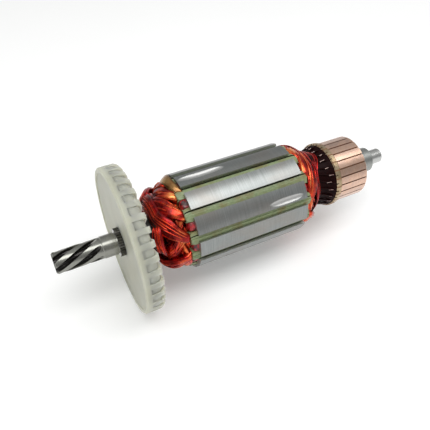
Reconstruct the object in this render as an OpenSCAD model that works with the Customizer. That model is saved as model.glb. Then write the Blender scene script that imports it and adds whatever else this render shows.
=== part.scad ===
// Wound armature of a hand-held power tool's universal motor.
// Frame: the shaft axis is X, +X runs from the pinion to the commutator, +Z is up.
// The origin is on the axis, at the middle of the drive-end bearing seat. Millimetres.
//
// Every sub-part is modelled about a local +Z axis and laid along X by on_shaft(),
// so a local height is a distance along the shaft. A local angle of 0 points down.

/* [Shaft] */
// Diameter of the drive-end bearing seat
seat_d = 8; // [7:0.1:9]
// Plain length of the drive-end bearing seat
seat_l = 4.6; // [3.5:0.1:8]
// Diameter over the pinion's teeth
pinion_d = 7.6; // [6.8:0.1:7.9]
// Length of the pinion's full-depth teeth
pinion_l = 12.3; // [8:0.1:18]
// Length over which the tooth spaces run out towards the seat
runout_l = 4.2; // [3:0.1:6]
// Depth of the tooth spaces
tooth_depth = 1.5; // [1:0.05:1.8]
// Axial length of one full turn of the left-hand teeth
pinion_lead = 51; // [40:1:80]
// Width of the grinding relief between seat and shoulder
relief_w = 0.5; // [0.3:0.1:1]
// Diameter over the knurl that carries the fan
knurl_d = 10.2; // [9.9:0.1:11]
// Length of the knurl
knurl_l = 9.2; // [7.5:0.1:12]
// Diameter of the shaft inside the core
body_d = 9.5; // [9:0.1:9.7]
// Diameter of the shaft under the commutator
commutator_bore_d = 8; // [7:0.1:8.6]
// Diameter of the rear bearing seat
rear_seat_d = 6; // [5:0.1:6.8]
// Length of the rear bearing seat
rear_seat_l = 6.4; // [5:0.1:12]
// Chamfer on the shaft's ends and steps
end_chamfer = 0.5; // [0.2:0.1:0.8]

/* [Core] */
// Outside diameter of the lamination stack
core_d = 35; // [34:0.1:37]
// Length of the lamination stack
core_l = 43; // [32:1:60]
// Distance from the drive-end seat's middle to the core's front face
core_x = 26.9; // [26:0.1:34]
// Width of a tooth's parallel flanks
tooth_w = 3.4; // [3:0.1:3.8]
// Width of the slot mouths
mouth_w = 2.7; // [2:0.1:3.2]
// Thickness of a tooth's tip beside the slot mouth
tip_h = 0.9; // [0.6:0.1:1.1]
// Depth of a slot from the core's surface
slot_depth = 7.9; // [7.3:0.1:8]
// Wall of the insulating sleeve between shaft and core
sleeve_wall = 1; // [0.6:0.1:1.1]
// Length of the long balancing groove
balance_long_l = 18.3; // [10:0.1:24]
// Length of the short balancing groove
balance_short_l = 14.3; // [8:0.1:20]
// Distance from the core's rear face to the short balancing groove's end
balance_inset = 1.25; // [0.5:0.05:4]

/* [Insulation] */
// Thickness of the slot liner
liner_t = 0.25; // [0.15:0.05:0.35]
// Overhang of the liners and wedges past the core at each end
liner_overhang = 2.4; // [2:0.1:3]
// Thickness of a slot wedge
wedge_t = 0.6; // [0.4:0.1:0.8]
// Thickness of an end insulator
insulator_t = 2.2; // [1:0.1:2.6]

/* [Winding] */
// Axial thickness of one layer of end turns
layer_t = 1.38; // [1:0.02:1.5]
// Radial width of an end turn where it passes the shaft
turn_w = 3.8; // [3:0.1:3.9]
// Width of a bundle between its slot and the shaft
leg_w = 4.6; // [3:0.1:5]
// Radial thickness of a bundle outside the slots at the fan's end
front_leg_h = 1.9; // [1.5:0.1:2.6]
// Radial thickness of a bundle outside the slots at the commutator's end
rear_leg_h = 2.7; // [1.5:0.1:2.8]

/* [Fan] */
// Diameter over the vanes
fan_d = 52.8; // [46:0.2:58]
// Overall axial length of the fan's rim and vanes
fan_l = 6.9; // [6:0.1:8]
// Axial length of the closed rim in front of the vanes
fan_rim_l = 2.1; // [1.5:0.1:3]
// Distance from the knurl's front edge to the fan's front plane
fan_setback = 1; // [0.6:0.1:1.6]
// Number of vanes
vane_count = 36; // [24:1:40]
// Thickness of a vane
vane_t = 2; // [1.2:0.1:2.2]
// Radial length of a vane
vane_l = 11; // [8:0.5:13]

/* [Commutator] */
// Diameter of the brush track
track_d = 24.2; // [22:0.1:26]
// Length of the brush track
track_l = 12.3; // [9:0.1:16]
// Height of the risers above the brush track
riser_h = 0.7; // [0.4:0.1:1.2]
// Length of the risers
riser_l = 2.6; // [2:0.1:3.5]
// Distance from the core's rear face to the risers
riser_gap = 16.8; // [15.5:0.1:20]
// Width of the undercut slots between the bars
undercut_w = 0.5; // [0.3:0.05:0.8]
// Depth of the undercut slots
undercut_depth = 0.8; // [0.4:0.1:1.2]
// Diameter of the spacer collar behind the commutator
collar_d = 10; // [9.4:0.1:12]
// Length of the spacer collar
collar_l = 8.6; // [6:0.1:12]
// Diameter of the coil leads
lead_d = 0.95; // [0.7:0.05:1]
// Height of the roll of leads above the end turns
wrap_rise = 1.4; // [0.2:0.1:1.8]
// Drop of the roll of leads from one strand to the next
wrap_drop = 0.5; // [0:0.05:0.7]

/* [Hidden] */
$fn = 64;

steel = "#9a9b98";
copper = "#c08a63";
nylon = "#d9dccb";
liner_green = "#9db07a";
wire_red = "#b4341a";
insulator_red = "#c8505a";
phenolic = "#1d1a19";
mica = "#6b5a3c";

// Gap between pieces that are pushed together by hand
slip = 0.03;
// How far a cutting shape runs past the face that it cuts
over = 1;

// Stations along the shaft
seat_end = seat_l / 2;
pinion_tip_x = -seat_end - runout_l - pinion_l;
knurl_x = seat_end + relief_w;
knurl_end = knurl_x + knurl_l;
fan_x = knurl_x + fan_setback;
core_end = core_x + core_l;
riser_x = core_end + riser_gap;
track_x = riser_x + riser_l;
track_end = track_x + track_l;
hub_lip = 0.8;
hub_x = riser_x - hub_lip;
collar_x = track_end + hub_lip;
collar_end = collar_x + collar_l;
shaft_end = collar_end + rear_seat_l;

// Teeth of the pinion
pinion_teeth = 6;
pinion_phase = 33.5;
space_w = 1.15;
space_clearance = 0.15;
fillet = 0.35;
relief_depth = 0.25;
// Length of the chamfer from the pinion up to the seat
seat_step = abs(seat_d - pinion_d) / 2;
knurl_ridges = 32;
knurl_height = 0.3;

// Slots: twelve of them, wound in six layers of two opposite coils
slots = 12;
slot_pitch = 360 / slots;
half_pitch = slot_pitch / 2;
slot_phase = -49.5;
core_r = core_d / 2;
sleeve_r = body_d / 2 + sleeve_wall;
slot_bottom = core_r - slot_depth;
// Centre of the round bottom that is tangent to both flanks of a slot
bottom_centre = (slot_bottom - tooth_w / 2) / (1 - sin(half_pitch));
shoulder_h = 0.8;
shoulder_r = core_r - tip_h - shoulder_h;
wedge_bottom = shoulder_r - wedge_t;

// Winding: a coil side near the slot's bottom and one under the wedge share each slot
layers = 6;
span = 5;
span_angle = span * slot_pitch;
layer_gap = 0.05;
turn_clearance = 0.4;
leg_clearance = 0.1;
layer_pitch = layer_t + layer_gap;
side_floor = slot_bottom + liner_t + 3 * slip;
side_h = (wedge_bottom - side_floor - 4 * slip) / 2;
low_side_r = side_floor + slip + side_h / 2;
high_side_r = wedge_bottom - slip - side_h / 2;
turn_inner_r = sleeve_r + turn_clearance;
turn_r = turn_inner_r + turn_w / 2;
leg_floor = turn_inner_r + turn_w + leg_clearance;
// Half-width left beside the shaft between two coils of a layer that end in slots next door
corner_half = turn_inner_r * tan(half_pitch) - leg_clearance;
first_layer = max(insulator_t, liner_overhang) + leg_clearance;
winding_l = first_layer + layers * layer_pitch;

// Commutator
bars = 24;
bar_pitch = 360 / bars;
bar_phase = 10;
track_r = track_d / 2;
riser_r = track_r + riser_h;
bar_gap = 2 * asin(undercut_w / 2 / track_r);
// Angle left free on each side of an insulating leaf
leaf_clearance = 0.04;
bar_neck = 2.4;
bar_root = 4.6;
riser_bevel = 0.4;
bush_wall = 1;

// Lays a piece that is modelled about a local Z axis along the shaft
module on_shaft() {
    rotate([0, 90, 0]) children();
}

// Skin over a list of rings of points, joined end to start when looped and capped when not
module loft(rings, looped) {
    sides = len(rings[0]);
    count = len(rings);
    last = (count - 1) * sides;
    polyhedron(
        points = [for (ring = rings) each ring],
        faces = concat(
            [
                for (i = [0 : looped ? count - 1 : count - 2], j = [0 : sides - 1])
                    let (i2 = (i + 1) % count, j2 = (j + 1) % sides)
                        [i * sides + j, i * sides + j2, i2 * sides + j2, i2 * sides + j]
            ],
            looped ? [] : [
                [for (j = [sides - 1 : -1 : 0]) j],
                [for (j = [0 : sides - 1]) last + j]
            ]
        )
    );
}

// Solid of revolution from [radius, height] points
module turned(points) {
    rotate_extrude() polygon(points);
}

// ---------- shaft ----------

// Section of one tooth space at a station along the shaft. From the end of the pinion on,
// it lifts out of the shaft along the arc that the cutter left
function tooth_space(z) =
    let (
        past = max(0, z + seat_end + runout_l) / runout_l,
        root = pinion_d / 2 - tooth_depth,
        lift = (seat_d / 2 + space_clearance - root) * past * past,
        turn = pinion_phase - (z + seat_end) * 360 / pinion_lead,
        tip = pinion_d / 2 + lift,
        outer = seat_d / 2 + over + lift
    )
        [
            for (p = [
                [outer, -space_w * 1.6], [tip, -space_w], [root + lift + fillet, -space_w * 0.62],
                [root + lift, -space_w * 0.25], [root + lift, space_w * 0.25],
                [root + lift + fillet, space_w * 0.62], [tip, space_w], [outer, space_w * 1.6]
            ])
                [p[0] * cos(turn) - p[1] * sin(turn), p[0] * sin(turn) + p[1] * cos(turn), z]
        ];

// The six helical tooth spaces
module tooth_spaces() {
    full_steps = 12;
    runout_steps = 5;
    cut_l = pinion_l + over;
    stations = concat(
        [for (i = [0 : full_steps - 1]) pinion_tip_x - over + i * cut_l / full_steps],
        [for (i = [0 : runout_steps]) -seat_end - runout_l * (1 - i / runout_steps)]
    );
    for (i = [0 : pinion_teeth - 1])
        rotate(i * 360 / pinion_teeth) loft([for (z = stations) tooth_space(z)], false);
}

module shaft_blank() {
    c = end_chamfer;
    relief_r = seat_d / 2 - relief_depth;
    turned([
        [0, pinion_tip_x], [pinion_d / 2 - c, pinion_tip_x], [pinion_d / 2, pinion_tip_x + c],
        [pinion_d / 2, -seat_end - seat_step], [seat_d / 2, -seat_end],
        [seat_d / 2, seat_end], [relief_r, seat_end], [relief_r, knurl_x], [0, knurl_x]
    ]);
    turned([
        [0, knurl_x], [body_d / 2, knurl_x], [body_d / 2, hub_x], [commutator_bore_d / 2, hub_x],
        [commutator_bore_d / 2, collar_end - c], [commutator_bore_d / 2 - c, collar_end],
        [rear_seat_d / 2, collar_end], [rear_seat_d / 2, shaft_end - c],
        [rear_seat_d / 2 - c, shaft_end], [0, shaft_end]
    ]);
}

// Straight knurl: a ring of pointed ridges
module knurl() {
    ridge = 360 / knurl_ridges;
    translate([0, 0, knurl_x]) linear_extrude(height = knurl_l) difference() {
        polygon([
            for (i = [0 : knurl_ridges - 1], side = [0, 1])
                let (r = knurl_d / 2 - side * knurl_height, a = (i + side / 2) * ridge)
                    [r * cos(a), r * sin(a)]
        ]);
        circle(r = body_d / 2 - 0.5);
    }
}

module shaft() {
    color(steel) on_shaft() {
        difference() {
            shaft_blank();
            tooth_spaces();
        }
        knurl();
    }
}

module spacer_collar() {
    c = 0.5;
    bore = commutator_bore_d / 2;
    color(steel) on_shaft() turned([
        [bore, collar_x], [collar_d / 2, collar_x], [collar_d / 2, collar_end - c],
        [collar_d / 2 - c, collar_end], [bore, collar_end]
    ]);
}

// ---------- fan ----------

fan_r = fan_d / 2;
fan_bore_r = knurl_d / 2 + slip;
fan_hub_r = fan_bore_r + 3.4;
fan_lip_w = 2;
fan_dish = 0.8;
fan_web_t = 1.6;
fan_hub_l = knurl_end - fan_x - 0.3;
vane_phase = 2.8;

// Backplate with a lip round its dished front, and the hub that sits on the knurl
module fan_body() {
    lip_r = fan_r - fan_lip_w;
    front = fan_x;
    web_back = front + fan_dish + fan_web_t;
    turned([
        [fan_bore_r, front + fan_dish], [fan_hub_r, front + fan_dish], [lip_r, front + fan_dish * 0.45],
        [lip_r + 0.3, front], [fan_r - 0.5, front], [fan_r, front + 0.5],
        [fan_r, front + fan_rim_l], [fan_hub_r + 2, web_back], [fan_hub_r, web_back + 1],
        [fan_hub_r, front + fan_hub_l], [fan_bore_r, front + fan_hub_l]
    ]);
}

// One vane, a flat radial rib whose free outer corner is rounded
module vane() {
    corner = 1.6;
    back = fan_l;
    rotate([90, 0, 0]) translate([0, 0, -vane_t / 2]) linear_extrude(height = vane_t) {
        difference() {
            translate([fan_r - vane_l, fan_rim_l * 0.5])
                square([vane_l, back - fan_rim_l * 0.5]);
            translate([fan_r - corner, back - corner]) square(2 * corner);
            translate([fan_r - vane_l - over, back]) rotate(-12) square([4, 4]);
        }
        translate([fan_r - corner, back - corner]) circle(r = corner);
    }
}

module fan() {
    color(nylon) on_shaft() {
        fan_body();
        for (i = [0 : vane_count - 1])
            rotate(vane_phase + i * 360 / vane_count) translate([0, 0, fan_x]) vane();
    }
}

// ---------- core ----------

// Half-width of a slot at a distance x from the axis, with its walls moved in by inset
function slot_half(x, inset) = x * tan(half_pitch) - (tooth_w / 2 + inset) / cos(half_pitch);

// Round bottom of a slot on the local X axis, from one flank to the other
function slot_bottom_arc(inset) =
    let (r = bottom_centre * sin(half_pitch) - tooth_w / 2 - inset, steps = 10)
        [
            for (i = [0 : steps])
                let (a = 90 + half_pitch + i * (180 - 2 * half_pitch) / steps)
                    [bottom_centre + r * cos(a), r * sin(a)]
        ];

// A slot from its round bottom along straight flanks up to a distance from the axis
module slot_2d(inset, top) {
    polygon(concat(
        slot_bottom_arc(inset),
        [[top, -slot_half(top, inset)], [top, slot_half(top, inset)]]
    ));
}

// A whole slot with its sloped shoulders and the mouth that opens it to the core's surface
module open_slot_2d() {
    tip_r = core_r - tip_h;
    shoulder = slot_half(shoulder_r, 0);
    polygon(concat(
        slot_bottom_arc(0),
        [
            [shoulder_r, -shoulder], [tip_r, -mouth_w / 2], [core_r + over, -mouth_w / 2],
            [core_r + over, mouth_w / 2], [tip_r, mouth_w / 2], [shoulder_r, shoulder]
        ]
    ));
}

module each_slot() {
    for (k = [0 : slots - 1]) rotate(slot_phase + k * slot_pitch) children();
}

// Groove left by a round-nosed milling wheel that is fed straight in, on the local X axis
module balance_groove(length, middle_x, angle) {
    wheel_r = 46;
    nose_r = 1.8;
    depth = length * length / 8 / wheel_r;
    rotate(angle) translate([core_r - depth + wheel_r, 0, middle_x]) rotate([90, 0, 0])
        rotate_extrude() {
            translate([wheel_r - nose_r, 0]) circle(r = nose_r);
            translate([wheel_r - nose_r - over, -nose_r]) square([over, 2 * nose_r]);
        }
}

module lamination_core() {
    color(steel) on_shaft() difference() {
        translate([0, 0, core_x]) linear_extrude(height = core_l) difference() {
            circle(r = core_r);
            circle(r = sleeve_r);
            each_slot() open_slot_2d();
        }
        balance_groove(balance_long_l, core_x + balance_long_l / 2, 174.5);
        balance_groove(balance_short_l, core_end - balance_inset - balance_short_l / 2, 240.5);
    }
}

module shaft_sleeve() {
    start = knurl_end + 0.2;
    color(phenolic) on_shaft() translate([0, 0, start]) difference() {
        cylinder(h = hub_x - 0.3 - start, r = sleeve_r);
        translate([0, 0, -over]) cylinder(h = hub_x, r = body_d / 2);
    }
}

// ---------- insulation ----------

// Spoked end plate that keeps the end turns off the core's sharp edges
module end_insulator(x) {
    rim_r = core_r - 0.6;
    slot_clearance = 0.35;
    color(insulator_red) on_shaft() translate([0, 0, x]) linear_extrude(height = insulator_t)
        difference() {
            circle(r = rim_r);
            circle(r = sleeve_r);
            each_slot() slot_2d(-slot_clearance, core_r + over);
        }
}

module front_end_insulator() {
    end_insulator(core_x - insulator_t);
}

module rear_end_insulator() {
    end_insulator(core_end);
}

module along_slots() {
    on_shaft() each_slot() translate([0, 0, core_x - liner_overhang])
        linear_extrude(height = core_l + 2 * liner_overhang) children();
}

// Folded paper trough in each slot
module slot_liners() {
    color(liner_green) along_slots() difference() {
        slot_2d(slip, wedge_bottom - slip);
        slot_2d(slip + liner_t, wedge_bottom + over);
    }
}

// Strip that closes each slot under the tooth tips
module slot_wedges() {
    color(liner_green) along_slots() {
        base = slot_half(wedge_bottom, slip);
        shoulder = slot_half(shoulder_r - slip, slip);
        crown_r = core_r - tip_h - 0.35;
        crown = shoulder - (crown_r - shoulder_r + 2 * slip) * (shoulder - mouth_w / 2) / shoulder_h;
        polygon([
            [wedge_bottom, base], [shoulder_r - slip, shoulder], [crown_r, crown],
            [crown_r, -crown], [shoulder_r - slip, -shoulder], [wedge_bottom, -base]
        ]);
    }
}

// ---------- winding ----------
// Coil n starts in slot n and ends five slots on. Opposite coils share a layer, and each
// layer lies further out along the shaft than the one wound before it.
// A ring of a coil is [centre, half-vector A, half-vector B, taper]: A spans the coil's
// thickness and B its width, and taper widens the outer side as the slot does.

function polar(r, a, x) = [r * cos(a), r * sin(a), x];
function radial(a) = [cos(a), sin(a), 0];
function around(a) = [-sin(a), cos(a), 0];

// Octagon of a ring
ring_shape = [
    [1, 0.5], [0.5, 1], [-0.5, 1], [-1, 0.5], [-1, -0.5], [-0.5, -1], [0.5, -1], [1, -0.5]
];
function ring_points(ring) = [
    for (p = ring_shape) ring[0] + p[0] * ring[1] + p[1] * (1 + ring[3] * p[0]) * ring[2]
];

// Half-width of the coil side whose middle is at radius r
function side_half(r) = slot_half(r, liner_t + 3 * slip);
function side_taper(r) = side_h / 2 * tan(half_pitch) / side_half(r);

// Angles from the first slot at which an end turn gets a ring as it passes the shaft
turn_angles = [20, 37, 56, 75, 94, 113, 130];

// Rings of the leg between a slot and the shaft: the slot's own section, the flattened
// bundle outside the liner, the mitre into the layer and the corner beside the shaft.
// A high leg lies on the low one of its slot. A leaning one comes down beyond it
function leg_rings(high, leaning, a, way, depth, out) =
    let (
        face = out < 0 ? core_x : core_end,
        h = out < 0 ? front_leg_h : rear_leg_h,
        low_r = leg_floor + h / 2,
        flat_r = high ? low_r + h + layer_gap : low_r,
        slot_r = high ? high_side_r : low_side_r,
        flat_depth = first_layer + layer_t,
        up = h / 2 * radial(a),
        lift = [0, 0, out * layer_t / 2],
        wide = way * leg_w / 2 * around(a),
        in_slot = [polar(slot_r, a, face + out * (liner_overhang + slip)),
            side_h / 2 * radial(a), way * side_half(slot_r) * around(a), side_taper(slot_r)],
        flat = [polar(flat_r, a, face + out * flat_depth), up, wide, 0],
        mitre = [polar(leaning ? low_r : flat_r, a, face + out * depth), up + lift, wide, 0],
        inside = [polar(turn_inner_r, a, face + out * depth), way * -corner_half * around(a)],
        outside = [polar(turn_inner_r + turn_w, a, face + out * depth), wide],
        corner = [
            (inside[0] + inside[1] + outside[0] + outside[1]) / 2, lift,
            (outside[0] + outside[1] - inside[0] - inside[1]) / 2, 0
        ]
    )
        depth - layer_t / 2 > flat_depth ? [in_slot, flat, mitre, corner] : [in_slot, mitre, corner];

function reversed(list) = [for (i = [len(list) - 1 : -1 : 0]) list[i]];

// Rings over one end of the core. out is -1 at the front and 1 at the rear
function end_rings(layer, start_a, out) =
    let (
        depth = first_layer + layer_t / 2 + layer * layer_pitch,
        x = out < 0 ? core_x - depth : core_end + depth,
        last = layer == layers - 1
    )
        concat(
            leg_rings(last, last, start_a, 1, depth, out),
            [
                for (a = turn_angles)
                    [polar(turn_r, start_a + a, x), [0, 0, out * layer_t / 2],
                        turn_w / 2 * radial(start_a + a), 0]
            ],
            reversed(leg_rings(layer > 0, false, start_a + span_angle, -1, depth, out))
        );

module coil(n) {
    layer = n % layers;
    start_a = slot_phase + n * slot_pitch;
    rings = concat(
        end_rings(layer, start_a, -1),
        reversed(end_rings(layer, start_a, 1))
    );
    color(wire_red) on_shaft() loft([for (ring = rings) ring_points(ring)], true);
}

// ---------- commutator ----------

wrap_x = core_end + winding_l + leg_clearance;
wrap_end = hub_x - leg_clearance;
wrap_r = leg_floor + wrap_rise;
wrap_strands = 4;
strand_r = (wrap_end - wrap_x) / wrap_strands / 2;

// Runs children along a straight line from a to b
module between(a, b) {
    d = b - a;
    translate(a) rotate([0, acos(d[2] / norm(d)), atan2(d[1], d[0])]) children();
}

// Outer radius of a strand of the roll of leads
function strand_top(i) = wrap_r - i * wrap_drop;

// The straight end of the lead of bar i, swept by a rod of the given radius
module lead_end(i, r) {
    a = bar_phase + i * bar_pitch;
    sweep_back = 9;
    from = polar(strand_top(2) - strand_r, a + sweep_back, wrap_x + 5 * strand_r);
    to = polar(riser_r - lead_d / 4, a, riser_x + riser_l / 3);
    between(from, to) cylinder(h = norm(to - from), r = r, $fn = 24);
}

// Leads: wound round the neck in a ridged roll, then fanned out to the risers
module coil_leads() {
    inner = sleeve_r + slip;
    color(wire_red) on_shaft() {
        rotate_extrude() for (i = [0 : wrap_strands - 1]) translate([0, wrap_x + 2 * i * strand_r]) {
            translate([inner, 0]) square([strand_top(i) - strand_r - inner, 2 * strand_r]);
            translate([strand_top(i) - strand_r, strand_r]) circle(r = strand_r);
        }
        for (i = [0 : bars - 1]) lead_end(i, lead_d / 2);
    }
}

// Section of a bar: riser, brush track and the dovetailed root that the hub grips
module bar_2d() {
    c = 0.3;
    neck = track_r - bar_neck;
    root = track_r - bar_root;
    front = riser_x;
    polygon([
        [neck, front], [riser_r - riser_bevel, front], [riser_r, front + riser_bevel],
        [riser_r, track_x - riser_h], [track_r, track_x],
        [track_r, track_end - c], [track_r - c, track_end], [neck, track_end],
        [neck, track_end - 2.2], [root + 0.5, track_end - 1.2], [root, track_end - 1.2],
        [root, front + 1.2], [root + 0.5, front + 1.2], [neck, front + 2.2]
    ]);
}

module commutator_bar(i) {
    color(copper) on_shaft() difference() {
        rotate_extrude(angle = bar_pitch - bar_gap, start = bar_phase + (i - 0.5) * bar_pitch + bar_gap / 2)
            bar_2d();
        for (j = [-1 : 1]) lead_end(i + j, lead_d / 2 + slip);
    }
}

// Insulating leaves between the bars, flush with the risers and undercut along the track
module mica_separators() {
    leaf = bar_gap - 2 * leaf_clearance;
    color(mica) on_shaft() for (i = [0 : bars - 1])
        rotate_extrude(angle = leaf, start = bar_phase + (i + 0.5) * bar_pitch - leaf / 2)
            difference() {
                bar_2d();
                translate([track_r - undercut_depth, track_x]) square([over + undercut_depth, track_l + over]);
            }
}

// Moulded hub that holds the bars
module commutator_hub() {
    bush_r = commutator_bore_d / 2 + bush_wall;
    outer = track_r - bar_neck + 0.1;
    color(phenolic) on_shaft() rotate_extrude() difference() {
        translate([bush_r, hub_x]) square([outer - bush_r, collar_x - hub_x]);
        translate([track_r - bar_neck, riser_x]) square([bar_neck, track_end - riser_x]);
        bar_2d();
    }
}

module commutator_bush() {
    bore = commutator_bore_d / 2;
    color(steel) on_shaft() translate([0, 0, hub_x]) difference() {
        cylinder(h = collar_x - hub_x, r = bore + bush_wall);
        translate([0, 0, -over]) cylinder(h = collar_x - hub_x + 2 * over, r = bore);
    }
}

// ---------- nodes ----------

function numbered(name, i) = str(name, i < 9 ? "0" : "", i + 1);

shaft();
fan();
shaft_sleeve();
lamination_core();
front_end_insulator();
rear_end_insulator();
slot_liners();
slot_wedges();
for (n = [0 : slots - 1])
    coil(n);
coil_leads();
commutator_hub();
commutator_bush();
mica_separators();
for (i = [0 : bars - 1])
    commutator_bar(i);
spacer_collar();
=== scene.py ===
import math
import random

import bmesh
import bpy
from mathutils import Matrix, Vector


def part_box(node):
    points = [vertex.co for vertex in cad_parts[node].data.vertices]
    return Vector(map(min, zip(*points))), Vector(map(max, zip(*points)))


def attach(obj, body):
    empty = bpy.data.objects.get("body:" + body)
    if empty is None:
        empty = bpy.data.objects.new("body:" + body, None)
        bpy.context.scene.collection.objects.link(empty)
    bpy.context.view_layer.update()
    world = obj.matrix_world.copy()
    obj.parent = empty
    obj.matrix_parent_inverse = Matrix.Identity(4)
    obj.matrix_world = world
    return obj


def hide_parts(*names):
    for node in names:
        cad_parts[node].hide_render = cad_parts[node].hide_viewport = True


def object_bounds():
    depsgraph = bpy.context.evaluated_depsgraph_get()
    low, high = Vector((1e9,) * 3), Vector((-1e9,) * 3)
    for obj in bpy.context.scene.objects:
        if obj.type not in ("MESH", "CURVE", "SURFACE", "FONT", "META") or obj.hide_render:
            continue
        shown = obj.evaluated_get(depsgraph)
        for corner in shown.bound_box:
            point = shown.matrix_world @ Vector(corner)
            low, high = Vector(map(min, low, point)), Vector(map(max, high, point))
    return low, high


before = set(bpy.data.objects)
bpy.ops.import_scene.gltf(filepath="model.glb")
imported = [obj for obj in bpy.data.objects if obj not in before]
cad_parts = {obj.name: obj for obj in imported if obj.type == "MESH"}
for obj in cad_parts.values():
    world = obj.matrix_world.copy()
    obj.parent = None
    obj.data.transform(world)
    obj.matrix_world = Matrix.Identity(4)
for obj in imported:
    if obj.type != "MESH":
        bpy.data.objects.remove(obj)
cad_low, cad_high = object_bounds()

# Lengths are in millimetres until they reach Blender, which works in metres.
# Angles about the shaft are in degrees: 0 points to +Y, 90 up and 180 to the front.
MM = 0.001

core_low, core_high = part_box("lamination_core")
bar_low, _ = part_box("commutator_bar_01")
fan_low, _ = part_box("fan")
CORE_START, CORE_END = core_low.x / MM, core_high.x / MM
RISER_X = bar_low.x / MM
FAN_X = fan_low.x / MM
BARS = 24
COILS = 12
LAYERS = 6


def polar(r, a, x):
    """The point at a radius and an angle, at a station along the shaft."""
    a = math.radians(a)
    return Vector((x, r * math.cos(a), r * math.sin(a)))


def radial(a):
    return polar(1, a, 0)


def around(a):
    return polar(1, a + 90, 0)


# ---------- materials ----------

# Colour ramps read a radius as a share of this one
RADIUS_SCALE = 20
BLACK = (0, 0, 0)
WHITE = (1, 1, 1)


class Shader:
    """A material under construction: its nodes, its links and its Principled shader."""

    def __init__(self, name, **sockets):
        self.material = bpy.data.materials.new(name)
        self.material.use_nodes = True
        self.tree = self.material.node_tree
        self.principled = self.tree.nodes["Principled BSDF"]
        for socket, value in sockets.items():
            self.principled.inputs[socket.replace("_", " ")].default_value = value
        coordinates = self.node("ShaderNodeTexCoord")
        self.place = self.node("ShaderNodeMapping")
        self.place.inputs["Scale"].default_value = (1000, 1000, 1000)
        self.link(coordinates.outputs["Object"], self.place.inputs["Vector"])

    def node(self, kind, **settings):
        node = self.tree.nodes.new(kind)
        for key, value in settings.items():
            setattr(node, key, value)
        return node

    def link(self, a, b):
        self.tree.links.new(a, b)

    def stretched(self, scale):
        """The place in millimetres, scaled along each axis."""
        node = self.node("ShaderNodeMapping")
        node.inputs["Scale"].default_value = scale
        self.link(self.place.outputs["Vector"], node.inputs["Vector"])
        return node.outputs["Vector"]

    def noise(self, scale, stretch=(1, 1, 1), detail=3, roughness=0.5):
        node = self.node("ShaderNodeTexNoise")
        node.inputs["Scale"].default_value = scale
        node.inputs["Detail"].default_value = detail
        node.inputs["Roughness"].default_value = roughness
        self.link(self.stretched(stretch), node.inputs["Vector"])
        return node.outputs["Fac"]

    def ramp(self, value, *stops):
        node = self.node("ShaderNodeValToRGB")
        node.color_ramp.elements.remove(node.color_ramp.elements[1])
        for i, (position, colour) in enumerate(stops):
            element = node.color_ramp.elements[0] if i == 0 else node.color_ramp.elements.new(position)
            element.position = position
            element.color = (*colour, 1)
        self.link(value, node.inputs["Fac"])
        return node.outputs["Color"]

    def mix(self, factor, a, b):
        node = self.node("ShaderNodeMix", data_type="RGBA")
        for value, socket in ((factor, node.inputs[0]), (a, node.inputs[6]), (b, node.inputs[7])):
            if hasattr(value, "is_output"):
                self.link(value, socket)
            else:
                socket.default_value = value if isinstance(value, float) else (*value, 1)
        return node.outputs[2]

    def along(self, x, width):
        """0 before a station on the shaft and 1 beyond it."""
        split = self.node("ShaderNodeSeparateXYZ")
        self.link(self.place.outputs["Vector"], split.inputs[0])
        node = self.node("ShaderNodeMapRange")
        node.inputs["From Min"].default_value = x - width / 2
        node.inputs["From Max"].default_value = x + width / 2
        self.link(split.outputs["X"], node.inputs["Value"])
        return node.outputs["Result"]

    def near_core(self, near, far):
        """1 up to one distance from the core's ends and 0 beyond another."""
        split = self.node("ShaderNodeSeparateXYZ")
        self.link(self.place.outputs["Vector"], split.inputs[0])
        centred = self.node("ShaderNodeMath", operation="SUBTRACT")
        centred.inputs[1].default_value = (CORE_START + CORE_END) / 2
        self.link(split.outputs["X"], centred.inputs[0])
        distance = self.node("ShaderNodeMath", operation="ABSOLUTE")
        self.link(centred.outputs[0], distance.inputs[0])
        node = self.node("ShaderNodeMapRange")
        half = (CORE_END - CORE_START) / 2
        node.inputs["From Min"].default_value = half + far
        node.inputs["From Max"].default_value = half + near
        self.link(distance.outputs[0], node.inputs["Value"])
        return node.outputs["Result"]

    def from_axis(self):
        """Distance from the shaft's axis, as a share of RADIUS_SCALE."""
        flat = self.node("ShaderNodeVectorMath", operation="MULTIPLY")
        flat.inputs[1].default_value = (0, 1 / RADIUS_SCALE, 1 / RADIUS_SCALE)
        self.link(self.place.outputs["Vector"], flat.inputs[0])
        length = self.node("ShaderNodeVectorMath", operation="LENGTH")
        self.link(flat.outputs["Vector"], length.inputs[0])
        return length.outputs["Value"]

    def radii(self, *stops):
        """Ramp over the distance from the shaft's axis, with stops at (radius, colour)."""
        return self.ramp(self.from_axis(), *((r / RADIUS_SCALE, colour) for r, colour in stops))

    def range(self, value, low, high):
        node = self.node("ShaderNodeMapRange")
        node.inputs["To Min"].default_value = low
        node.inputs["To Max"].default_value = high
        self.link(value, node.inputs["Value"])
        return node.outputs["Result"]

    def colour(self, value):
        self.link(value, self.principled.inputs["Base Color"])

    def gloss(self, value):
        self.link(value, self.principled.inputs["Roughness"])

    def backdrop(self, strength):
        """Adds a plain glow that the camera and mirrors see, and that lights nothing."""
        rays = self.node("ShaderNodeLightPath")
        seen = rays.outputs["Is Camera Ray"]
        for kind in ("Is Glossy Ray", "Is Transmission Ray"):
            both = self.node("ShaderNodeMath", operation="MAXIMUM")
            self.link(seen, both.inputs[0])
            self.link(rays.outputs[kind], both.inputs[1])
            seen = both.outputs[0]
        self.principled.inputs["Emission Color"].default_value = (1, 1, 1, 1)
        self.link(self.range(seen, 0, strength), self.principled.inputs["Emission Strength"])

    def bump(self, value, depth):
        node = self.node("ShaderNodeBump")
        node.inputs["Distance"].default_value = depth * MM
        self.link(value, node.inputs["Height"])
        self.link(node.outputs["Normal"], self.principled.inputs["Normal"])


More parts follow.
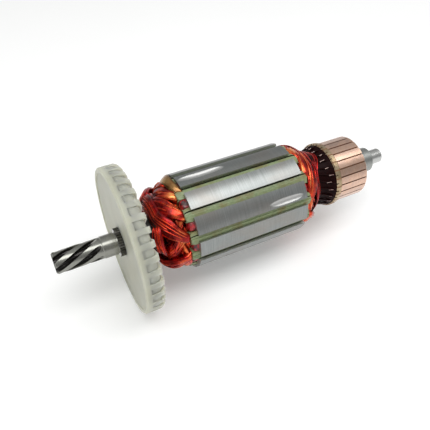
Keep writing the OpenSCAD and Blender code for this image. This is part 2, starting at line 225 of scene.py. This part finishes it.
def turned_metal(name, dark, light, roughness, lines=9.0):
    """Metal with fine marks that run round the shaft."""
    s = Shader(name, Metallic=1.0)
    marks = s.noise(lines, stretch=(1, 0.06, 0.06), detail=4)
    s.colour(s.ramp(marks, (0.3, dark), (0.7, light)))
    s.gloss(s.range(marks, roughness, roughness + 0.12))
    s.bump(marks, 0.012)
    return s.material


def make_core_steel():
    """Pressed sheets seen on edge, lighter in the balancing grooves, partly as freshly cut metal and
    partly as a painted highlight.
    """
    s = Shader("core_steel", Metallic=1.0)
    sheets = s.noise(3.4, stretch=(1, 0.03, 0.03), detail=5, roughness=0.8)
    patches = s.noise(0.11, stretch=(0.5, 1, 1), detail=3)
    # Lighter steel inside the tooth tips' radius, where the balancing grooves are cut: fresh metal and a
    # painted highlight
    fresh_cut_and_highlight = s.radii((17.36, WHITE), (17.47, BLACK))
    dark, middling, light = (0.205, 0.215, 0.21), (0.265, 0.28, 0.275), (0.34, 0.35, 0.345)
    steel = s.ramp(sheets, (0.3, dark), (0.5, middling), (0.7, light))
    stains = s.ramp(patches, (0.45, BLACK), (0.68, (0.6, 0.6, 0.6)))
    stained = s.mix(stains, steel, (0.28, 0.255, 0.23))
    s.colour(s.mix(fresh_cut_and_highlight, stained, (0.50, 0.50, 0.49)))
    s.gloss(s.mix(fresh_cut_and_highlight, s.range(sheets, 0.30, 0.42), (0.46, 0.46, 0.46)))
    s.bump(sheets, 0.010)
    return s.material


# Stations on the shaft: the middle of the drive-end bearing seat, and the start of the clean end
SEAT_X = 0
CLEAN_X = 100


def make_shaft_steel():
    """Ground steel, with painted shade in the tooth spaces and over the knurl, and a clean rear end."""
    s = Shader("shaft_steel", Metallic=1.0)
    marks = s.noise(10, stretch=(1, 0.06, 0.06), detail=4)
    steel = s.ramp(marks, (0.3, (0.24, 0.24, 0.215)), (0.7, (0.34, 0.34, 0.31)))
    # Painted shade: dark towards the roots of the pinion's teeth, and over the knurl, darkest in its
    # grooves
    tooth_space_shade = s.radii((2.5, WHITE), (3.52, (0.45, 0.45, 0.45)), (3.76, (0.1, 0.1, 0.1)))
    knurl_shade = s.radii((4.7, BLACK), (4.84, WHITE), (5.08, (0.6, 0.6, 0.6)))
    groove_shade = s.mix(s.along(SEAT_X, 1), tooth_space_shade, knurl_shade)
    clean = s.mix(s.along(CLEAN_X, 1), steel, (0.52, 0.52, 0.51))
    s.colour(s.mix(groove_shade, clean, (0.030, 0.028, 0.027)))
    s.gloss(s.range(marks, 0.16, 0.30))
    s.bump(marks, 0.008)
    return s.material


# The dull tint of the risers ends this far behind their front
TINT_L = 2.5


def make_copper(name, shade):
    """Turned copper bars, duller and yellower on the risers."""
    dark = [shade * c for c in (0.64, 0.39, 0.28)]
    light = [shade * c for c in (0.80, 0.55, 0.42)]
    s = Shader(name, Metallic=1.0, Coat_Weight=0.5, Coat_Roughness=0.22)
    marks = s.noise(7.0, stretch=(1, 0.08, 0.08), detail=4)
    clouds = s.noise(0.35, detail=3)
    track = s.ramp(marks, (0.3, dark), (0.7, light))
    wear = s.ramp(clouds, (0.45, BLACK), (0.65, (0.5, 0.5, 0.5)))
    worn = s.mix(wear, track, (0.50, 0.36, 0.31))
    riser = s.ramp(clouds, (0.35, (0.34, 0.24, 0.13)), (0.65, (0.52, 0.41, 0.27)))
    s.colour(s.mix(s.along(RISER_X + TINT_L, 0.4), riser, worn))
    s.gloss(s.range(marks, 0.24, 0.36))
    s.bump(marks, 0.008)
    return s.material


def make_nylon():
    """Pale grey-green moulded nylon that lets some light in."""
    s = Shader("fan_nylon", Roughness=0.45, Subsurface_Weight=1.0, Subsurface_Scale=0.008)
    s.principled.inputs["Subsurface Radius"].default_value = (1.0, 0.95, 0.8)
    clouds = s.noise(0.12, detail=3)
    s.colour(s.ramp(clouds, (0.35, (0.42, 0.42, 0.335)), (0.65, (0.46, 0.465, 0.38))))
    s.bump(s.noise(0.9, detail=3), 0.04)
    return s.material


def make_liner():
    """Olive press paper with varnish stains."""
    s = Shader("liner_green", Roughness=0.5)
    fibres = s.noise(3.0, stretch=(0.35, 1, 1), detail=4)
    stains = s.noise(0.25, detail=3)
    paper = s.ramp(fibres, (0.3, (0.17, 0.22, 0.105)), (0.7, (0.29, 0.35, 0.19)))
    stained = s.ramp(stains, (0.46, BLACK), (0.64, (0.75, 0.75, 0.75)))
    s.colour(s.mix(stained, paper, (0.21, 0.175, 0.065)))
    s.bump(fibres, 0.03)
    return s.material


def make_end_insulator():
    """Red moulding under glossy drips of varnish."""
    s = Shader("end_insulator_red", Roughness=0.3, Coat_Weight=0.25, Coat_Roughness=0.12)
    drips = s.noise(0.55, detail=4)
    dark, middling, light = (0.05, 0.003, 0.004), (0.36, 0.014, 0.018), (0.55, 0.05, 0.06)
    s.colour(s.ramp(drips, (0.40, dark), (0.52, middling), (0.66, light)))
    s.bump(drips, 0.25)
    return s.material


# The enamel is painted orange, as a highlight, up to the first of these distances from the core, and
# plain from the second
HIGHLIGHT_TO = 2.8
NO_HIGHLIGHT_FROM = 7.5


def enamel(name, dark, light, highlight_colour):
    """Enamelled copper wire under varnish, with a painted orange highlight beside the core."""
    s = Shader(name, Metallic=0.9, Coat_Weight=0.25, Coat_Roughness=0.08)
    flow = s.noise(0.30, detail=4)
    # Plain enamel away from the core, and a painted orange highlight beside it
    thick = s.ramp(flow, (0.38, dark), (0.60, light))
    painted_highlight = s.ramp(flow, (0.36, light), (0.58, highlight_colour))
    s.colour(s.mix(s.near_core(HIGHLIGHT_TO, NO_HIGHLIGHT_FROM), thick, painted_highlight))
    s.gloss(s.range(flow, 0.18, 0.34))
    s.bump(s.noise(1.6), 0.03)
    return s.material


def moulding(name, dark, light, roughness):
    """Plain moulded material with a fine grain."""
    s = Shader(name, Roughness=roughness)
    grain = s.noise(2.5, detail=4)
    s.colour(s.ramp(grain, (0.3, dark), (0.7, light)))
    s.bump(grain, 0.03)
    return s.material


shaft_steel = make_shaft_steel()
collar_steel = turned_metal("collar_steel", (0.25, 0.26, 0.25), (0.39, 0.40, 0.385), 0.30)
core_steel = make_core_steel()
SHADES = (0.82, 0.90, 0.98)
COPPERS = [make_copper(f"commutator_copper_{i}", shade) for i, shade in enumerate(SHADES)]
nylon = make_nylon()
liner = make_liner()
end_insulator = make_end_insulator()
phenolic = moulding("phenolic", (0.012, 0.010, 0.010), (0.03, 0.026, 0.024), 0.4)
mica = moulding("mica", (0.16, 0.075, 0.035), (0.30, 0.15, 0.07), 0.6)
# Near-black resin, which also stands in as painted shade in the winding's gaps and on the disc over the
# leads
resin_and_shade = moulding("resin_and_shade", (0.0025, 0.001, 0.001), (0.018, 0.002, 0.002), 0.4)
resin_and_shade.node_tree.nodes["Principled BSDF"].inputs["Specular IOR Level"].default_value = 0.06
# Near-black paint on the wedges' open seams: painted shade
seam_shade = moulding("seam_shade", (0.010, 0.012, 0.006), (0.035, 0.035, 0.015), 0.8)
# Pale copper on the leads: a painted highlight
glint = turned_metal("lead_glints", (0.14, 0.07, 0.07), (0.66, 0.50, 0.45), 0.3, lines=0.9)
# Each enamel is dark, light, and its painted highlight beside the core
ENAMELS = [
    enamel("enamel_crimson", (0.05, 0.0015, 0.003), (0.34, 0.006, 0.007), (0.74, 0.07, 0.02)),
    enamel("enamel_red", (0.20, 0.004, 0.006), (0.66, 0.015, 0.012), (0.97, 0.24, 0.06)),
    enamel("enamel_orange", (0.46, 0.012, 0.010), (0.90, 0.08, 0.025), (1.0, 0.46, 0.13)),
    enamel("enamel_gold", (0.10, 0.035, 0.010), (0.24, 0.10, 0.03), (0.38, 0.22, 0.08)),
]


def paint(node, material):
    """Gives a CAD node its material."""
    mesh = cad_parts[node].data
    mesh.materials.clear()
    mesh.materials.append(material)


paint("shaft", shaft_steel)
paint("spacer_collar", collar_steel)
paint("commutator_bush", collar_steel)
paint("fan", nylon)
paint("lamination_core", core_steel)
paint("slot_liners", liner)
paint("slot_wedges", liner)
paint("shaft_sleeve", phenolic)
paint("commutator_hub", phenolic)
paint("mica_separators", mica)
rng = random.Random(2)
for i in range(BARS):
    paint(f"commutator_bar_{i + 1:02d}", rng.choice(COPPERS))

# ---------- fan ----------


def revolved(name, section, material, finish):
    """Ring with a closed section of (station, radius) points."""
    steps = 180
    sides = len(section)
    points = [tuple(polar(r, 360 * j / steps, x) * MM) for j in range(steps) for x, r in section]
    faces = []
    for j in range(steps):
        row, above = j * sides, (j + 1) % steps * sides
        for i in range(sides):
            after = (i + 1) % sides
            faces.append((row + i, row + after, above + after, above + i))
    mesh = bpy.data.meshes.new(name)
    mesh.from_pydata(points, [], faces)
    mesh.materials.append(material)
    for polygon in mesh.polygons:
        polygon.use_smooth = True
    return settle(bpy.data.objects.new(name, mesh), finish)


# ---------- winding ----------

WIRE_R = 0.2
LANES = 32
SLOT_PITCH = 30
FIRST_SLOT = -139.5
SPAN = 150
LINER_END = 2.4

# Half-widths and thicknesses of a bundle: low in its slot, on its leg and at its crown
LOW_HALF = 1.0
LEG_HALF = 1.5
LEG_THICK = 2.3
CROWN_HALF = 3.2
CROWN_THICK = 1.9

# The middle of a bundle lies no further from the shaft than this while it is in its slot
IN_SLOT_R = 13.6

# Coils with a slack part at the front
LOOSE = (1, 7)

# One end of the winding. A leg leaves its slot at radius low or high and leans as it comes down
# to its crown. Crowns start at depth from the core, one pitch further out and higher per layer,
# and the last of them are tilted outwards.
FRONT = dict(out=-1, face=CORE_START, low=11.7, high=14.9, lean=46, depth=3.3, pitch=1.45,
             crown=8.3, climb=0.42, tilt=25)
REAR = dict(out=1, face=CORE_END, low=12.0, high=14.8, lean=62, depth=3.2, pitch=0.76,
            crown=8.6, climb=0.80, tilt=50)


def end_turn(n, end):
    """Middle line of one end turn, as (point, outward normal, half-width, thickness), slot to slot."""
    layer = n % LAYERS
    first = FIRST_SLOT + n * SLOT_PITCH
    out, face, lean = end["out"], end["face"], end["lean"]
    depth = end["depth"] + layer * end["pitch"]
    crown = end["crown"] + layer * end["climb"]
    tilt = math.radians(end["tilt"] * layer / (LAYERS - 1))
    away = Vector((out, 0, 0))

    def facing(a, t):
        """Outward normal between the slot, where it is radial, and the crown."""
        turn = t * (math.pi / 2 - tilt)
        return radial(a) * math.cos(turn) + away * math.sin(turn)

    def leg(a, way, high):
        r = end["high"] if high else end["low"]
        in_slot = min(r, IN_SLOT_R)
        start_half = LEG_HALF if high else LOW_HALF
        line = [
            (polar(in_slot, a, face + out * d), radial(a), start_half, LEG_THICK)
            for d in (-2.5, 0.5, 1.6)
        ]
        steps = 14
        for i in range(1, steps + 1):
            t = i / steps
            angle = a + way * lean * t ** 1.2
            at_r = crown + (r - crown) * math.cos(t * math.pi / 2)
            at_d = LINER_END + (depth - LINER_END) * math.sin(t * math.pi / 2)
            half = LEG_HALF + (CROWN_HALF - LEG_HALF) * min(1, 1.8 * t)
            thick = LEG_THICK + (CROWN_THICK - LEG_THICK) * t
            line.append((polar(at_r, angle, face + out * at_d), facing(angle, t), half, thick))
        return line

    crown_angles = [first + lean + (SPAN - 2 * lean) * i / 8 for i in range(1, 8)]
    ring = [
        (polar(crown, a, face + out * depth), facing(a, 1), CROWN_HALF, CROWN_THICK)
        for a in crown_angles
    ]
    start = leg(first, 1, layer == LAYERS - 1)
    finish = leg(first + SPAN, -1, layer > 0)
    return start + ring + finish[::-1]


def loose_loop(n):
    """The slack part of an end turn that bulges towards the fan."""
    first = FIRST_SLOT + n * SLOT_PITCH
    steps, start, sweep = 24, 37, 99
    half, thick, tilt = 2.3, 1.7, math.radians(28)
    line = []
    for i in range(steps + 1):
        t = i / steps
        a = first + start + sweep * t
        bulge = math.sin(math.pi * t) ** 0.6
        place = polar(7.4 + 3.9 * bulge, a, CORE_START - 6.5 - 5.9 * bulge)
        normal = radial(a) * math.sin(tilt) - Vector((1, 0, 0)) * math.cos(tilt)
        line.append((place, normal, half, thick))
    return line


def bundle_rings(line, rng):
    """Rings round a bundle. Each lane of the ring is one wire, fused to its neighbours by varnish."""
    last = len(line) - 1
    swell = rng.uniform(0, 6.28)
    pace = rng.uniform(0.25, 0.4)
    twist = rng.uniform(-0.25, 0.25)
    rings = []
    for i, (centre, normal, half, thick) in enumerate(line):
        course = line[min(i + 1, last)][0] - line[max(i - 1, 0)][0]
        normal = normal.normalized()
        side = course.cross(normal).normalized()
        size = 1 + 0.05 * math.sin(swell + i * pace)
        ring = []
        for j in range(2 * LANES):
            u = math.pi * j / LANES + twist * math.sin(i * 0.12)
            ridge = 0.05 if j % 2 else -0.06
            across = math.copysign(abs(math.cos(u)) ** 0.8, math.cos(u)) * (half * size + ridge)
            rise = math.copysign(abs(math.sin(u)) ** 0.8, math.sin(u)) * (thick / 2 * size + ridge)
            ring.append(centre + side * across + normal * rise)
        rings.append(ring)
    return rings


def bundles(name, lines, rng, *replaced, enamels=(0, 0, 0, 1, 1, 2)):
    """One mesh of several bundles, with the wires of each in a mix of enamels."""
    points, faces, tints = [], [], []
    sides = 2 * LANES
    for line in lines:
        rings = bundle_rings(line, rng)
        lane_tints = []
        while len(lane_tints) < LANES:
            lane_tints += [rng.choice(enamels)] * rng.randint(1, 5)
        base = len(points)
        points += [tuple(p * MM) for ring in rings for p in ring]
        for i in range(len(rings) - 1):
            row, above = base + i * sides, base + (i + 1) * sides
            for j in range(sides):
                after = (j + 1) % sides
                faces.append((row + j, row + after, above + after, above + j))
                tints.append(lane_tints[(j + 1) // 2 % LANES])
        faces += [tuple(range(base, base + sides)), tuple(range(len(points) - sides, len(points)))]
        tints += [0, 0]
    mesh = bpy.data.meshes.new(name)
    mesh.from_pydata(points, [], faces)
    for material in ENAMELS:
        mesh.materials.append(material)
    for polygon, tint in zip(mesh.polygons, tints):
        polygon.use_smooth = True
        polygon.material_index = tint
    return settle(bpy.data.objects.new(name, mesh), "coil_enamel", *replaced)


def loose_wires(line, count, rng):
    """Single wires that lie on top of a bundle and cross it at a slant."""
    strands = []
    last = len(line) - 1
    for _ in range(count):
        u, drift = rng.uniform(-0.8, 0.8), rng.uniform(-0.5, 0.5)
        begin = rng.randint(3, 9)
        end = rng.randint(last - 9, last - 3)
        points = []
        for i in range(begin, end + 1):
            centre, normal, half, thick = line[i]
            t = (i - begin) / (end - begin)
            normal = normal.normalized()
            side = (line[i + 1][0] - line[i - 1][0]).cross(normal).normalized()
            place = max(-0.9, min(0.9, u + drift * (t - 0.5)))
            dive = 0.5 * abs(2 * t - 1) ** 8
            rise = thick / 2 * (1 - abs(place) ** 2.6) ** 0.4 + 0.10 - dive
            points.append(centre + side * place * half + normal * rise)
        strands.append((points, 1))
    return strands


def wires(name, strands, materials, tints, radius=WIRE_R):
    """One curve object that holds many round wires. A strand is (points, thickness)."""
    data = bpy.data.curves.new(name, "CURVE")
    data.dimensions = "3D"
    data.bevel_depth = radius * MM
    data.bevel_resolution = 1
    data.use_fill_caps = True
    for material in materials:
        data.materials.append(material)
    for (points, thickness), tint in zip(strands, tints):
        spline = data.splines.new("POLY")
        spline.points.add(len(points) - 1)
        for point, p in zip(spline.points, points):
            point.co = (*(p * MM), 1)
            point.radius = thickness
        spline.use_smooth = True
        spline.material_index = tint
    return settle(bpy.data.objects.new(name, data), "coil_enamel")


def settle(piece, finish, *replaced):
    """Adds a piece to the scene as part of the object, in place of CAD nodes if any are named."""
    bpy.context.scene.collection.objects.link(piece)
    if piece.type == "MESH":
        mesh = bmesh.new()
        mesh.from_mesh(piece.data)
        bmesh.ops.recalc_face_normals(mesh, faces=mesh.faces)
        mesh.to_mesh(piece.data)
        mesh.free()
    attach(piece, "root")
    if replaced:
        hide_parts(*replaced)
    return piece


def skin(name, rings, material, finish, *replaced, smooth=True):
    """Closed mesh over rings of points, looped round each ring and capped at both ends."""
    sides = len(rings[0])
    points = [tuple(p * MM) for ring in rings for p in ring]
    faces = []
    for i in range(len(rings) - 1):
        row, above = i * sides, (i + 1) * sides
        for j in range(sides):
            after = (j + 1) % sides
            faces.append((row + j, row + after, above + after, above + j))
    faces += [tuple(range(sides))[::-1], tuple(range(len(points) - sides, len(points)))]
    mesh = bpy.data.meshes.new(name)
    mesh.from_pydata(points, [], faces)
    mesh.materials.append(material)
    for polygon in mesh.polygons:
        polygon.use_smooth = smooth
    return settle(bpy.data.objects.new(name, mesh), finish, *replaced)


def lathe(name, profile, material, finish, *replaced, wobble):
    """Body of revolution over (station, radius) points, made uneven by the wobble."""
    rng = random.Random(0)
    phases = [(rng.uniform(0, 6.28), rng.randint(2, 9)) for _ in range(4)]
    rings = []
    for x, r in profile:
        ring = []
        for a in range(0, 360, 3):
            uneven = sum(math.sin(k * math.radians(a) + phase + x) for phase, k in phases) / 4
            ring.append(polar(r + wobble * uneven, a, x))
        rings.append(ring)
    return skin(name, rings, material, finish, *replaced)


strays = []
for n in range(COILS):
    rng = random.Random(n)
    lines = [end_turn(n, FRONT), end_turn(n, REAR)] + ([loose_loop(n)] if n in LOOSE else [])
    bundles(f"winding_{n + 1:02d}", lines, rng, f"coil_{n + 1:02d}")
    for line in lines:
        strays += loose_wires(line, 7, rng)

# A lump of varnished wire over the front edge of the core
knot = []
for i in range(21):
    t = i / 20
    a = 102 - 58 * t
    bulge = math.sin(math.pi * t) ** 0.7
    place = polar(14.6 + 2.4 * bulge, a, CORE_START - 0.4 - 2.2 * bulge)
    knot.append((place, radial(a) - Vector((0.7, 0, 0)), 1.7, 1.2))
rng = random.Random(61)
bundles("winding_knot", [knot], rng, enamels=(3,))
rng = random.Random(77)
wires("winding_strays", strays, ENAMELS, [rng.choice((0, 1, 1, 2, 2)) for _ in strays])

# Web between the vanes, a little lower than their tips and short of their back edge,
# as (distance from the fan's face, radius)
WEB = [(1.9, 26.2), (4.0, 26.1), (5.2, 25.75), (5.9, 25.1), (5.9, 24.2), (4.6, 23.3), (1.9, 22.8)]
revolved("fan_web", [(FAN_X + d, r) for d, r in WEB], nylon, "fan_nylon")

# Near-black resin that fills the winding inside the end turns and shows as painted shade in the gaps
# between bundles, as (distance from the core, radius)
FRONT_RESIN = [(10.4, 6.2), (10.2, 8.6), (6.0, 10.2), (2.6, 11.6), (2.3, 6.2)]
REAR_RESIN = [(2.3, 6.2), (2.6, 11.6), (6.0, 11.8), (9.4, 10.8), (10.2, 6.2)]
front_profile = [(CORE_START - d, r) for d, r in FRONT_RESIN]
rear_profile = [(CORE_END + d, r) for d, r in REAR_RESIN]
lathe("winding_resin_front", front_profile, resin_and_shade, "coil_enamel", wobble=0.3)
lathe("winding_resin_rear", rear_profile, resin_and_shade, "coil_enamel", wobble=0.3)

# ---------- end insulators ----------


# Half-size of a lump round the core, out from the shaft and along it, and how much each varies
LUMP_HALF = ((2.0, -0.1, 0.15), (2.35, -0.2, 0.15), (1.9, -0.15, 0.15))


def lumps(name, face, out, replaced):
    """Varnished moulding over each tooth's end: rounded, uneven lumps."""
    points, faces = [], []
    around_steps, up_steps = 20, 11
    for k in range(COILS):
        rng = random.Random(300 + k + (50 if out > 0 else 0))
        a = FIRST_SLOT + (k + 0.5) * SLOT_PITCH + rng.uniform(-0.6, 0.6)
        half = [size + rng.uniform(less, more) for size, less, more in LUMP_HALF]
        middle_r = 13.5 + rng.uniform(-0.15, 0.1)
        phase = rng.uniform(0, 6.28)
        base = len(points)
        for j in range(up_steps):
            v = math.pi * (j / (up_steps - 1) - 0.5)
            for i in range(around_steps):
                u = 2 * math.pi * i / around_steps
                way = (math.cos(v) * math.cos(u), math.cos(v) * math.sin(u), math.sin(v))
                boxy = [math.copysign(abs(w) ** 0.62, w) for w in way]
                uneven = 1 + 0.07 * math.sin(3 * u + phase) * math.cos(2 * v + phase)
                across, rise, depth = [h * b * uneven for h, b in zip(half, boxy)]
                middle = polar(middle_r + rise, a, face + out * (0.15 + depth))
                points.append(middle + around(a) * across)
        for j in range(up_steps - 1):
            row, above = base + j * around_steps, base + (j + 1) * around_steps
            for i in range(around_steps):
                after = (i + 1) % around_steps
                faces.append((row + i, row + after, above + after, above + i))
    mesh = bpy.data.meshes.new(name)
    mesh.from_pydata([tuple(p * MM) for p in points], [], faces)
    mesh.validate()
    mesh.materials.append(end_insulator)
    for polygon in mesh.polygons:
        polygon.use_smooth = True
    settle(bpy.data.objects.new(name, mesh), "end_insulator_red", replaced)


lumps("insulator_lumps_front", CORE_START, -1, "front_end_insulator")
lumps("insulator_lumps_rear", CORE_END, 1, "rear_end_insulator")

# ---------- leads ----------

TURNS_START = CORE_END + 7.4
TURNS_END = CORE_END + 10.2


def loose_turns(count, rng):
    """Wires laid round the neck, each part of the way round and slightly askew."""
    strands = []
    for k in range(count):
        t = k / (count - 1)
        x = TURNS_START + (TURNS_END - TURNS_START) * t
        r = 12.8 - 2.5 * t + rng.uniform(-0.1, 0.2)
        begin = rng.uniform(0, 360)
        sweep = rng.uniform(120, 250)
        drift = rng.uniform(-0.5, 0.5)
        points = []
        for i in range(41):
            u = i / 40
            dive = 0.9 * (abs(2 * u - 1) ** 6)
            a = begin + sweep * u
            climb = max(0, math.cos(math.radians(a - 92))) ** 8
            points.append(polar(r - dive + 0.6 * climb, a, x + drift * (u - 0.5) + 3.4 * t * climb))
        strands.append((points, 1))
    return strands


rng = random.Random(5)
turns = loose_turns(34, rng)
wires("lead_turns", turns, ENAMELS, [rng.choice((0, 0, 0, 1, 2)) for _ in turns], radius=0.24)

# Disc of black resin over the leads, partly resin and partly painted shade between the winding and the
# risers
disc_profile = [
    (TURNS_END - 1.2, 6.3), (TURNS_END - 0.8, 10.2), (TURNS_END + 0.6, 10.1), (RISER_X - 3.2, 10.4),
    (RISER_X - 1.4, 11.2), (RISER_X - 0.5, 12.0), (RISER_X, 12.25), (RISER_X + 0.2, 9.9),
]
lathe("resin_disc", disc_profile, resin_and_shade, "coil_enamel", "coil_leads", wobble=0.12)

# One wire from the neck to each riser, under resin but for a pale stretch on its side that is a painted
# highlight
FIRST_LEAD = 100
LEAD_PITCH = 360 / BARS
LEAD_SWEEP = 12
LEADS_START = TURNS_END - 0.4
leads, glint_dashes = [], []
for i in range(BARS):
    rng = random.Random(100 + i)
    a = FIRST_LEAD + LEAD_PITCH * i
    skew = rng.uniform(-2, 2)
    path = []
    for k in range(13):
        t = k / 12
        x = LEADS_START + (RISER_X - LEADS_START) * t
        r = 10.0 + 2.0 * t ** 1.6 + 0.2 * math.sin(math.pi * t)
        path.append(polar(r, a - (LEAD_SWEEP + skew) * (1 - t), x))
    leads.append((path, 1))
    shown = rng.choice((5, 6, 7, 8))
    length = rng.choice((3, 4, 4))
    slant = rng.uniform(0.05, 0.22)
    # A short stretch of each lead, painted pale as a highlight
    glint_stretch = path[shown:shown + length]
    strand = [p + around(a) * (0.3 - slant * k) + radial(a) * 0.24 for k, p in enumerate(glint_stretch)]
    glint_dashes.append((strand, rng.uniform(0.7, 1.2)))
wires("resin_leads", leads, [resin_and_shade], [0] * BARS, radius=0.34)
wires("lead_glints", glint_dashes, [glint], [0] * BARS, radius=0.14)

# ---------- slot wedges ----------

# Section across a wedge, as (sideways, radius), with an open seam on one side and a lapped edge
WEDGE = [
    (-2.22, 15.23), (-2.40, 15.74), (-1.28, 16.22), (-1.22, 15.60), (-0.86, 15.58), (-0.80, 16.12),
    (-0.3, 16.18), (0.10, 16.16), (0.16, 16.42), (0.34, 16.46), (1.28, 16.22), (2.40, 15.74),
    (2.22, 15.23),
]
# The sides of the open seam, which take the near-black painted shade
SEAM_SIDES = (2, 3, 4)

# Width of a wedge near its end, as (distance inside the core's face, share of the full width)
WEDGE_ENDS = [(-2.4, 0.50), (-2.3, 0.70), (-2.0, 0.86), (-1.5, 0.96), (-0.7, 1), (0.2, 1)]
OVERHANG = 2.4
DROOP = 0.25


def wedge_rings(a):
    """Rings along a wedge, whose ends are rounded and droop a little."""
    places = [(CORE_START + d, d, width) for d, width in WEDGE_ENDS]
    places += [(CORE_END - d, d, width) for d, width in reversed(WEDGE_ENDS)]
    rings = []
    for x, d, width in places:
        droop = DROOP * (min(0, d) / OVERHANG) ** 2
        rings.append([polar(r - droop, a, x) + around(a) * u * width for u, r in WEDGE])
    return rings


side_faces = (2 * len(WEDGE_ENDS) - 1) * len(WEDGE)
for k in range(COILS):
    a = FIRST_SLOT + k * SLOT_PITCH
    others = ("slot_wedges",) if k == 0 else ()
    wedge = skin(f"wedge_{k + 1:02d}", wedge_rings(a), liner, "liner_green", *others, smooth=False)
    wedge.data.materials.append(seam_shade)
    for polygon in wedge.data.polygons:
        if polygon.index < side_faces and polygon.index % len(WEDGE) in SEAM_SIDES:
            polygon.material_index = 1

# ---------- camera, light and floor ----------

# Fitted to the photo
EYE = Vector((-17.2, -116.6, 120.0)) * MM
GAZE = Vector((0.3237, 0.6517, -0.6860))
LENS = 39.98

camera_data = bpy.data.cameras.new("camera")
camera_data.sensor_width = 36
camera_data.lens = LENS
camera_data.clip_start = 0.01
camera = bpy.data.objects.new("camera", camera_data)
camera.location = EYE
camera.rotation_mode = "QUATERNION"
camera.rotation_quaternion = GAZE.to_track_quat("-Z", "Y")
bpy.context.scene.collection.objects.link(camera)
bpy.context.scene.camera = camera


def softbox(name, place, aim, size_x, size_y, power):
    """Rectangular lamp, with sizes in metres and power in watts."""
    data = bpy.data.lights.new(name, "AREA")
    data.shape = "RECTANGLE"
    data.size, data.size_y = size_x, size_y
    data.energy = power
    lamp = bpy.data.objects.new(name, data)
    lamp.location = place
    lamp.rotation_mode = "QUATERNION"
    lamp.rotation_quaternion = (aim - place).to_track_quat("-Z", "Y")
    bpy.context.scene.collection.objects.link(lamp)


middle = (cad_low + cad_high) / 2
above_front = middle + Vector((0, -0.17, 0.60))
softbox("overhead", above_front, middle, size_x=0.95, size_y=0.30, power=2.9)

# A studio that is bright at the horizon and overhead, with a darker band between
world = bpy.data.worlds.new("studio")
bpy.context.scene.world = world
world.use_nodes = True
nodes, links = world.node_tree.nodes, world.node_tree.links
coordinates = nodes.new("ShaderNodeTexCoord")
split = nodes.new("ShaderNodeSeparateXYZ")
sky = nodes.new("ShaderNodeValToRGB")
grey = sky.color_ramp.elements
grey[0].position, grey[0].color = 0.0, (0.82, 0.82, 0.82, 1)
grey[1].position, grey[1].color = 0.9, (0.72, 0.73, 0.72, 1)
for position, level in ((0.12, 0.80), (0.24, 0.34), (0.40, 0.40)):
    grey.new(position).color = (level, level, level, 1)
links.new(coordinates.outputs["Generated"], split.inputs[0])
links.new(split.outputs["Z"], sky.inputs["Fac"])
links.new(sky.outputs["Color"], nodes["Background"].inputs["Color"])

FLOOR_REACH = 6.0
floor_mesh = bpy.data.meshes.new("floor")
corners = [(x * FLOOR_REACH, y * FLOOR_REACH, cad_low.z) for x, y in ((-1, -1), (1, -1), (1, 1), (-1, 1))]
floor_mesh.from_pydata(corners, [], [(0, 1, 2, 3)])
floor = bpy.data.objects.new("floor", floor_mesh)
bpy.context.scene.collection.objects.link(floor)
floor_shader = Shader("floor", Roughness=0.9)
pale, paler = (0.925, 0.925, 0.925), (0.94, 0.94, 0.94)
floor_shader.colour(floor_shader.ramp(floor_shader.noise(0.01), (0.3, pale), (0.7, paler)))
floor_shader.backdrop(0.135)
floor_mesh.materials.append(floor_shader.material)

bpy.context.scene.view_settings.view_transform = "Standard"
